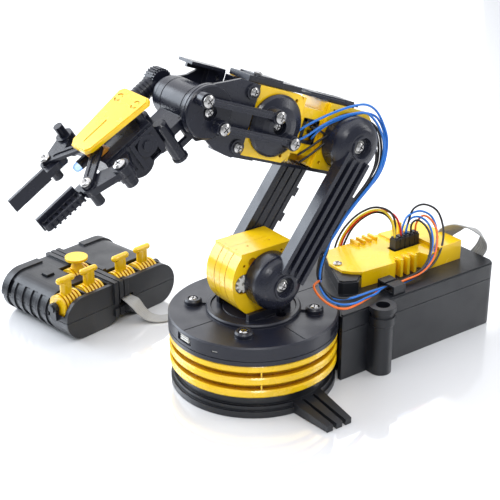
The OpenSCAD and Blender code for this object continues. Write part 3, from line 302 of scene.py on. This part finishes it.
def plastic(name, colour, rough, grain, edge_colour, coat=0.0, specular=0.5, painted_shade=None):
    """Moulded plastic: fine spark-eroded grain, uneven gloss, tone that drifts, edges partly worn and partly
    painted paler as a highlight, and, where asked, painted shade in grooves and corners.
    """
    s = Shader(name)
    wear_and_highlight, rounded = s.edges(0.0004)
    drift = s.ramp(s.noise(0.03), 0.35, 0.65, 0.0, 1.0)
    body = s.mix(drift, shade(colour, 0.9), shade(colour, 1.1))
    # Painted shade: grooves and corners take a darker orange tone, where shade falls.
    if painted_shade:
        tone, reach, full = painted_shade
        body = s.mix(s.ramp(s.openness(reach), 0.05, full, 0.0, 1.0), tone, body)
    # Paler edges: partly wear, partly a painted highlight along the edges.
    breakup = s.ramp(s.noise(0.004, 4), 0.3, 0.7, 0.0, 0.75)
    both = s.add("ShaderNodeMath", operation="MULTIPLY")
    s.link(wear_and_highlight, both.inputs[0])
    s.link(breakup, both.inputs[1])
    s.link(s.mix(both.outputs[0], body, edge_colour), s.surface.inputs["Base Color"])
    s.link(s.ramp(s.noise(0.011, 5), 0.3, 0.7, rough * 0.82, rough * 1.22), s.surface.inputs["Roughness"])
    s.link(s.bump(s.noise(0.0003, 2), 0.00008, grain, rounded), s.surface.inputs["Normal"])
    s.surface.inputs["Specular IOR Level"].default_value = specular
    s.surface.inputs["Coat Weight"].default_value = coat
    s.surface.inputs["Coat Roughness"].default_value = 0.08
    return s.material


def metal(name, colour, rough, stretch, grain=0.1):
    """Plated or drawn steel with fine marks along its length, and painted shade darkening its recesses."""
    s = Shader(name)
    rounded = s.edges(0.0002)[1]
    marks = s.noise(0.0012, 4, stretch=stretch)
    bright = s.mix(marks, shade(colour, 0.85), shade(colour, 1.12))
    # Painted shade: recesses darkened nearly to black, where shade falls.
    recess_painted_shade = s.mix(s.ramp(s.openness(0.0014), 0.2, 0.85, 0.0, 1.0), shade(colour, 0.06), bright)
    s.link(recess_painted_shade, s.surface.inputs["Base Color"])
    s.link(s.ramp(marks, 0.25, 0.75, rough * 0.6, rough * 1.5), s.surface.inputs["Roughness"])
    s.link(s.bump(marks, 0.00005, grain, rounded), s.surface.inputs["Normal"])
    s.surface.inputs["Metallic"].default_value = 1.0
    return s.material


def sleeve(name, colour):
    """PVC wire sleeve: soft gloss, faint unevenness."""
    s = Shader(name)
    drift = s.noise(0.006, 3)
    s.link(s.mix(drift, shade(colour, 0.82), shade(colour, 1.15)), s.surface.inputs["Base Color"])
    s.link(s.ramp(drift, 0.3, 0.7, 0.3, 0.42), s.surface.inputs["Roughness"])
    s.link(s.bump(s.noise(0.0006, 2), 0.00005, 0.2), s.surface.inputs["Normal"])
    return s.material


def board_finish(name):
    """Solder mask over copper tracks, with tinned pads."""
    s = Shader(name)
    tracks = s.add("ShaderNodeTexBrick")
    tracks.inputs["Scale"].default_value = 160
    tracks.inputs["Mortar Size"].default_value = 0.03
    tracks.inputs["Color1"].default_value = (0.01, 0.12, 0.05, 1)
    tracks.inputs["Color2"].default_value = (0.012, 0.14, 0.055, 1)
    tracks.inputs["Mortar"].default_value = (0.03, 0.26, 0.1, 1)
    s.link(s.place, tracks.inputs["Vector"])
    pads = s.add("ShaderNodeTexVoronoi")
    pads.inputs["Scale"].default_value = 260
    s.link(s.place, pads.inputs["Vector"])
    tinned = s.ramp(pads.outputs["Distance"], 0.12, 0.16, 1.0, 0.0)
    s.link(s.mix(tinned, tracks.outputs["Color"], (0.6, 0.6, 0.58)), s.surface.inputs["Base Color"])
    s.link(s.ramp(s.noise(0.002), 0.3, 0.7, 0.2, 0.4), s.surface.inputs["Roughness"])
    return s.material


def lamp_finish(name):
    """Clear lamp lit from inside: nearly white in the middle, blue towards its rim."""
    s = Shader(name)
    facing = s.add("ShaderNodeLayerWeight").outputs["Facing"]
    uneven = s.mix(s.ramp(s.noise(0.002), 0.3, 0.7, 0.0, 1.0), (0.55, 0.85, 1.0), (0.8, 0.95, 1.0))
    rim = s.ramp(facing, 0.15, 0.6, 0.0, 1.0)
    s.link(s.mix(rim, uneven, (0.01, 0.2, 0.85)), s.surface.inputs["Emission Color"])
    s.surface.inputs["Emission Strength"].default_value = 1.0
    s.surface.inputs["Base Color"].default_value = (0.01, 0.05, 0.2, 1)
    s.surface.inputs["Roughness"].default_value = 0.15
    return s.material


YELLOW = (0.92, 0.58, 0.004)
# Painted shade: darker orange for grooves and corners, with its reach and fade.
PAINTED_SHADE_ORANGE = ((0.55, 0.2, 0.0), 0.006, 0.55)
RING_PAINTED_SHADE = ((0.32, 0.085, 0.0), 0.010, 0.85)
DARK = (0.0075, 0.0088, 0.0125)
ARM_GREY = (0.0115, 0.013, 0.023)
# Edge colours: partly wear, partly a painted highlight along sharp edges.
PALE_EDGE = (0.075, 0.08, 0.095)
PALE_YELLOW = (1.0, 0.72, 0.12)

FINISHES = {
    "black_plastic": plastic("black_plastic", DARK, 0.38, 0.5, PALE_EDGE),
    "cap_plastic": plastic("cap_plastic", shade(ARM_GREY, 0.9), 0.34, 0.35, PALE_EDGE),
    "arm_plastic": plastic("arm_plastic", ARM_GREY, 0.27, 0.3, PALE_EDGE),
    "hand_plastic": plastic("hand_plastic", shade(ARM_GREY, 0.8), 0.26, 0.25, PALE_EDGE, specular=0.36),
    "yellow_plastic": plastic("yellow_plastic", YELLOW, 0.24, 0.12, PALE_YELLOW, coat=0.35, painted_shade=PAINTED_SHADE_ORANGE),
    "lever_yellow": plastic("lever_yellow", shade(YELLOW, 0.97), 0.26, 0.12, (1.0, 0.7, 0.12), coat=0.3,
                            painted_shade=PAINTED_SHADE_ORANGE),
    "ring_yellow": plastic("ring_yellow", YELLOW, 0.26, 0.12, PALE_YELLOW, coat=0.3, painted_shade=RING_PAINTED_SHADE),
    "gear_plastic": plastic("gear_plastic", (0.72, 0.71, 0.66), 0.4, 0.2, (0.85, 0.85, 0.8)),
    "screw_steel": metal("screw_steel", (0.5, 0.49, 0.48), 0.2, (1, 1, 1)),
    "motor_steel": metal("motor_steel", (0.6, 0.6, 0.62), 0.28, (0.1, 1, 1)),
    "cell_jacket": plastic("cell_jacket", (0.03, 0.06, 0.16), 0.22, 0.05, (0.2, 0.25, 0.35), coat=0.3),
    "contact_steel": metal("contact_steel", (0.78, 0.77, 0.74), 0.2, (1, 1, 1)),
    "board_green": board_finish("board_green"),
    "wire_blue": sleeve("wire_blue", (0.012, 0.17, 0.62)),
    "ribbon_grey": sleeve("ribbon_grey", (0.4, 0.4, 0.39)),
    "slider_brass": plastic("slider_brass", (0.5, 0.2, 0.02), 0.3, 0.15, (0.8, 0.45, 0.12)),
    "lamp_glow": lamp_finish("lamp_glow"),
}
WIRE_COLOURS = {
    "blue": FINISHES["wire_blue"],
    "black": sleeve("wire_black", (0.008, 0.008, 0.01)),
    "red": sleeve("wire_red", (0.62, 0.012, 0.01)),
    "orange": sleeve("wire_orange", (0.85, 0.16, 0.01)),
    "yellow": sleeve("wire_yellow", (1.0, 0.72, 0.06)),
}


def dress(made, material):
    made.data.materials.clear()
    made.data.materials.append(material)


def dress_nodes():
    """Gives every CAD node the finish of its slot."""
    for part in frame["record"]["subparts"]:
        dress(frame["nodes"][part["node"]], FINISHES[part["material_slot"]])
    dress(frame["nodes"]["base_rings"], FINISHES["ring_yellow"])


dress_nodes()
dress(ribbon, FINISHES["ribbon_grey"])


# ---- wires ------------------------------------------------------------------------------

WIRE_RADIUS = 0.00074
WIRE_STEP = 0.0015


def wire(name, colour, points):
    """One wire through places in millimetres."""
    made = round_tube(name, smooth_line(metres(points), WIRE_STEP), WIRE_RADIUS)
    dress(made, WIRE_COLOURS[colour])
    return made


# Each joint that the wires cross has its own stretch: over the elbow and down
# the rail, from the rail to the turntable, and from the turntable to the box.
# Known fault: at the far ends of the turntable and the elbow some strands cut
# through the battery lid, the near rail or the motor housing.
RAIL_FOOT = (33, -27, 85)
TURNTABLE_TOP = (30, -27, 70)

ELBOW_ROUTES = {
    "blue_a": ("blue", [(22, -11, 160), (28, -14, 164), (36, -18, 168), (46, -21, 171), (56, -22, 172),
                        (66, -22, 171), (74, -22, 166), (80, -22, 157), (84, -22, 146), (83, -22, 134),
                        (78, -23, 126), (70, -24, 120), (60, -25, 113), (50, -26, 105), (42, -27, 97),
                        (36, -27, 90)]),
    "blue_b": ("blue", [(34, -11, 154), (37, -14, 159), (42, -17, 163), (49, -19, 165), (57, -20, 166),
                        (65, -20, 166), (72, -20, 164), (78, -20, 160), (82, -21, 152), (83, -22, 142),
                        (81, -23, 132), (75, -24, 125), (67, -25, 119), (57, -26, 112), (48, -26, 104),
                        (41, -27, 96)]),
    "black_a": ("black", [(24, -11, 146), (30, -14, 150), (37, -16, 154), (45, -17, 157), (56, -17, 160),
                          (66, -18, 161), (74, -19, 158), (79, -20, 152), (81, -21, 143), (80, -22, 134),
                          (76, -23, 127), (68, -24, 121), (58, -25, 114), (49, -26, 106), (41, -26, 98)]),
    "black_b": ("black", [(33, -11, 162), (37, -14, 160), (41, -15, 157), (46, -16, 156), (56, -16, 158),
                          (67, -17, 160), (76, -18, 157), (80, -19, 149), (81, -20, 140), (79, -21, 131),
                          (73, -22, 124), (64, -24, 117), (54, -25, 110), (45, -25, 101)]),
    "blue_c": ("blue", [(23, -11, 155), (29, -14, 158), (37, -17, 163), (47, -20, 167), (56, -23, 168.5),
                        (65, -24, 167.5), (72, -24, 162), (78, -24, 153), (81, -24, 143), (79, -24, 132),
                        (72, -25, 123), (61, -26, 115), (50, -27, 107), (42, -28, 99), (36, -28, 91)]),
    "black_c": ("black", [(25, -11, 141), (32, -14, 146), (41, -16, 152), (51, -18, 157), (60, -19, 158),
                          (69, -20, 155), (75, -21, 148), (78, -22, 139), (76, -23, 130), (68, -25, 122),
                          (57, -26, 114), (47, -27, 106), (40, -27, 97)]),
}


ELBOW = (56.95, 149.03)
PLUGS = (124.0, 58.0)
ELBOW_FAN = (0.05, 0.03, 0.02, -0.03, 0.0, -0.07)
LOOP_FAN = (-0.1, 0.04, 0.08, -0.16, 0.0)


def fanned(points, centre, share):
    """Moves the middle of a route away from an axis along Y (or towards it) by a share of its distance."""
    last = len(points) - 1
    return [(p[0] + (p[0] - centre[0]) * share * math.sin(math.pi * i / last), p[1],
             p[2] + (p[2] - centre[1]) * share * math.sin(math.pi * i / last)) for i, p in enumerate(points)]


def moved(place, offset):
    return tuple(a + b for a, b in zip(place, offset))


def strand_end(index):
    """Where strand number index of the bundle sits round its middle."""
    turn = 2 * math.pi * index / len(ELBOW_ROUTES)
    return (1.2 * math.cos(turn), 1.4 * math.sin(turn), 0.9 * math.sin(turn))


def make_arm_wires():
    """Strands that leave the forearm's motors, loop round the elbow and run down the near rail."""
    for index, (name, (colour, points)) in enumerate(ELBOW_ROUTES.items()):
        offset = strand_end(index)
        spread = fanned(points, ELBOW, ELBOW_FAN[index])
        strand = wire("elbow_wire_" + name, colour, spread + [moved(RAIL_FOOT, offset)])
        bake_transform(strand)
        if index == 0:
            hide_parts("arm_wires")
        low = [moved(place, offset) for place in (RAIL_FOOT, (31, -27, 80), (30, -27, 75), TURNTABLE_TOP)]
        shoulder = wire("shoulder_wire_" + name, colour, low)
        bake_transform(shoulder)


make_arm_wires()

BOX_CLIP = (89, -28, 48.6)
BASE_ROUTES = {
    "blue_a": ("blue", [(30, -28, 65), (32, -32, 60), (38, -36, 57), (48, -37, 55), (58, -35, 53.5),
                        (70, -32, 51.5), (80, -29.5, 49.6)]),
    "blue_b": ("blue", [(29, -30, 64), (30, -36, 59), (35, -42, 56.5), (46, -42, 54), (58, -38, 52),
                        (70, -34, 50), (80, -30, 49)]),
    "black_a": ("black", [(31, -29, 64), (34, -34, 59.5), (42, -37, 56.5), (54, -35, 54), (66, -32, 52),
                          (78, -29, 50)]),
    "black_b": ("black", [(30, -31, 64), (33, -38, 58), (40, -42, 55), (52, -40, 52.5), (64, -36, 50.8),
                          (78, -31, 49)]),
    "orange": ("orange", [(25, -28, 66), (25, -35, 61), (29, -42, 57), (36, -45, 54.6), (48, -42, 52.5),
                          (64, -36, 50.5), (78, -30, 49)]),
}
LOOP_ROUTES = {
    "blue_a": [(102, -27.5, 48), (117, -26, 50), (128, -22, 54), (137, -17, 61), (142, -11, 68),
               (142, -6, 74), (137, -2, 77.5), (131, 0, 76), (128, 0, 70), (127.4, 0, 65)],
    "blue_b": [(102, -28.5, 47.5), (118, -26.5, 49), (130, -22, 53), (140, -16, 60), (144.5, -10, 68),
               (143.5, -5, 75), (137, -1, 78.5), (128, 0, 77), (124, 0, 71), (123, 0, 65)],
    "black_a": [(102, -29, 48.6), (119, -28, 50), (133, -24, 54), (144, -17, 61), (149, -10, 69),
                (147.5, -5, 77), (140, -1, 81.5), (132, 0, 80), (128.6, 0, 72), (127.6, 1.2, 65)],
    "black_b": [(102, -28, 49.4), (116, -27, 51), (127, -23, 55), (136, -17, 62), (140.5, -11, 69),
                (140, -6, 74), (137, -2, 76), (133.6, 0, 73), (132, 0, 69), (131.8, 0, 65)],
    "orange": [(102, -29, 49.2), (117, -28, 50), (130, -24, 54), (139, -18, 61), (143.5, -12, 68),
               (143, -7, 73.5), (140, -3, 76), (137, -1, 73), (136, 0, 69), (135.8, 0, 65)],
}


def make_base_wires():
    """Strands from the turntable over the cap to the clip, and on in loops to the plugs."""
    for index, (name, (colour, points)) in enumerate(BASE_ROUTES.items()):
        offset = strand_end(index)
        start = moved(TURNTABLE_TOP, offset)
        clip = (BOX_CLIP[0], BOX_CLIP[1] + 0.5 * offset[0], BOX_CLIP[2] + 0.35 * offset[1])
        lead = wire("base_wire_" + name, colour, [start] + points + [clip])
        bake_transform(lead)
        loop = wire("loop_wire_" + name, colour, [clip] + fanned(LOOP_ROUTES[name], PLUGS, LOOP_FAN[index]))
        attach(loop, "base")


make_base_wires()

ARC_ROUTES = {
    "black_a": ("black", [(117.4, 0, 65), (117, 0.2, 75), (114, 1, 82.5), (108, 3, 87), (103, 9, 86.5),
                          (98, 17, 80), (95, 25, 69.5), (93, 30, 59), (92, 33, 47.5)]),
    "red": ("red", [(122, -1, 65), (121, 0, 72), (118, 1, 79), (112, 3.5, 84), (106.5, 9.5, 83.5),
                    (102, 17, 77.5), (99.5, 25, 67.5), (98, 30, 58), (97.5, 33, 47.5)]),
    "black_b": ("black", [(117, 0, 65), (116, 0.6, 72), (114, 2, 78), (110.5, 5, 82), (107, 11, 81.5),
                          (104, 19, 75), (102, 26, 66), (101, 31, 56), (100.5, 34, 47.5)]),
    "yellow": ("yellow", [(116.4, -0.8, 65), (116, 0, 72), (113.5, 1.5, 79.5), (109, 4, 84.5),
                          (104.5, 10, 84), (100, 18, 77.5), (97.5, 25, 68), (96, 30, 58), (95.5, 33, 47.5)]),
}


def make_plug_arcs():
    """Arcs from the nearest plugs over the cover to the far edge of the lid."""
    for index, (name, (colour, points)) in enumerate(ARC_ROUTES.items()):
        arc = wire("arc_wire_" + name, colour, points)
        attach(arc, "base")
        if index == 0:
            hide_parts("plug_wires")


make_plug_arcs()


# ---- painted highlights: pale bars in the snap windows of the cap ----------------------------

CAP_HIGHLIGHT_BARS = ((182, 42.0, 8.0, 0.8), (182, 43.6, 8.0, 0.8), (182, 45.1, 8.0, 0.7), (208, 42.5, 3.4, 0.8))
CAP_RADIUS = (51.5, 52.5)


def box_faces(first):
    """Quads of a box whose eight corners start at index first, ordered by x, then z, then y."""
    return [tuple(first + k for k in quad) for quad in
            ((0, 1, 3, 2), (4, 6, 7, 5), (0, 4, 5, 1), (2, 3, 7, 6), (0, 2, 6, 4), (1, 5, 7, 3))]


def make_cap_highlight_bars():
    """Short pale bars: painted highlights in the windows of the cap's skirt."""
    verts, faces = [], []
    for angle, z, width, height in CAP_HIGHLIGHT_BARS:
        turn = math.radians(angle)
        out = Vector((math.cos(turn), math.sin(turn), 0))
        along = Vector((-math.sin(turn), math.cos(turn), 0))
        faces += box_faces(len(verts))
        verts += [(out * r + along * side + Vector((0, 0, h))) * MM
                  for side in (-width / 2, width / 2) for h in (z, z + height) for r in CAP_RADIUS]
    bars = mesh_object("cap_window_highlights", verts, faces, smooth=False)
    dress(bars, FINISHES["gear_plastic"])
    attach(bars, "base")


make_cap_highlight_bars()


# ---- black bezel round the window of the motor housing -------------------------------------

FOREARM_RISE = math.atan2(38.35, 100.95)
BEZEL_OUTER = ((21.1, -6.9), (32.9, 7.9))
BEZEL_BAR = 1.9
BEZEL_CROSS_LENGTH = 5.4
BEZEL_CROSS_W = (-0.6, 1.2)
BEZEL_DEPTH = (9.2, 11.8)


def forearm_point(u, v, w):
    """World place in metres of a place in the forearm: u to the wrist, v to the near side, w up."""
    return Vector((ELBOW[0] - math.cos(FOREARM_RISE) * u + math.sin(FOREARM_RISE) * w, -v,
                   ELBOW[1] + math.sin(FOREARM_RISE) * u + math.cos(FOREARM_RISE) * w)) * MM


def make_bezel():
    """Rectangular frame with a thin cross bar, where the leads come out."""
    (u0, w0), (u1, w1) = BEZEL_OUTER
    bars = [(u0, u1, w0, w0 + BEZEL_BAR), (u0, u1, w1 - BEZEL_BAR, w1), (u0, u0 + BEZEL_BAR, w0, w1),
            (u1 - BEZEL_BAR, u1, w0, w1), (u0, u0 + BEZEL_CROSS_LENGTH, *BEZEL_CROSS_W)]
    verts, faces = [], []
    for bar in bars:
        faces += box_faces(len(verts))
        verts += [forearm_point(u, v, w) for u in bar[:2] for w in bar[2:] for v in BEZEL_DEPTH]
    bezel = mesh_object("motor_window_bezel", verts, faces, smooth=False)
    dress(bezel, FINISHES["black_plastic"])
    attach(bezel, "forearm")


make_bezel()


# ---- screws of the finger knees --------------------------------------------------------

HAND_PITCH = math.radians(32)
WRIST = (-44.0, 0.0, 187.38)
KNEE_U, KNEE_V, KNEE_W = 78.6, 22.6, 23.3
HEAD_SIDES = 32
HEAD_PROFILE = ((3.3, 0.0), (3.3, 0.8), (2.9, 1.3), (2.1, 1.75), (1.4, 1.8), (1.1, 0.7))


def hand_point(u, v, w):
    """World place in metres of a place in the hand: u to the fingers, v to the near side, w up."""
    return Vector((WRIST[0] - math.cos(HAND_PITCH) * u - math.sin(HAND_PITCH) * w, -v,
                   WRIST[2] - math.sin(HAND_PITCH) * u + math.cos(HAND_PITCH) * w)) * MM


def make_knee_screws():
    """Pan-head screws that hold the links on the fingers."""
    for body, side in (("finger_near", 1), ("finger_far", -1)):
        rings = []
        for radius, height in HEAD_PROFILE:
            rings.append([hand_point(KNEE_U + radius * math.cos(a), side * KNEE_V + radius * math.sin(a),
                                     KNEE_W + height) for a in (2 * math.pi * k / HEAD_SIDES
                                                         for k in range(HEAD_SIDES))])
        head = mesh_object(body + "_knee_screw", [p for ring in rings for p in ring], skin_rings(rings))
        dress(head, FINISHES["screw_steel"])
        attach(head, body)


make_knee_screws()


# ---- floor, light and world ---------------------------------------------------------

FLOOR_SIZE = 6
FLOOR_DROP = 0.0002


def make_floor():
    bpy.ops.mesh.primitive_plane_add(size=FLOOR_SIZE, location=(0, 0, -FLOOR_DROP))
    floor = bpy.context.object
    floor.name = "floor"
    s = Shader("pale_floor")
    s.link(s.mix(s.noise(0.4), (0.86, 0.87, 0.88), (0.9, 0.9, 0.91)), s.surface.inputs["Base Color"])
    s.surface.inputs["Roughness"].default_value = 0.3
    s.surface.inputs["Coat Weight"].default_value = 1.0
    s.surface.inputs["Coat IOR"].default_value = 2.7
    s.surface.inputs["Coat Roughness"].default_value = 0.06
    dress(floor, s.material)


def area_light(name, place, aim, size, power, colour=(1, 1, 1)):
    data = bpy.data.lights.new(name, "AREA")
    data.shape = "RECTANGLE"
    data.size, data.size_y = size
    data.energy = power
    data.color = colour
    lamp = bpy.data.objects.new(name, data)
    bpy.context.scene.collection.objects.link(lamp)
    lamp.location = place
    lamp.rotation_mode = "QUATERNION"
    lamp.rotation_quaternion = (Vector(aim) - Vector(place)).to_track_quat("-Z", "Y")


def make_light():
    """One wide sheet of light overhead, a panel behind on the left, and small boxes for highlights."""
    aim = (0.02, 0, 0.08)
    area_light("overhead", (0.1, 0.9, 1.6), (0.1, 0.9, 0), (3.8, 3.8), 64, (0.94, 0.95, 1))
    area_light("left_back", (-0.65, 0.88, 0.55), aim, (0.8, 0.7), 11, (0.82, 0.9, 1))
    area_light("back_wall", (0.6, 2.9, 0.9), (0.3, 0, 0.3), (5.0, 2.2), 40)
    area_light("key", (-0.45, -0.8, 1.0), aim, (0.3, 0.3), 5)
    area_light("right_strip", (0.9, -0.5, 0.5), aim, (0.25, 0.7), 2.5)
    world = bpy.data.worlds.new("studio")
    world.use_nodes = True
    world.node_tree.nodes["Background"].inputs["Color"].default_value = (0.93, 0.96, 1.0, 1)
    world.node_tree.nodes["Background"].inputs["Strength"].default_value = 0.44
    bpy.context.scene.world = world
    bpy.context.scene.view_settings.view_transform = "Standard"


make_floor()
make_light()
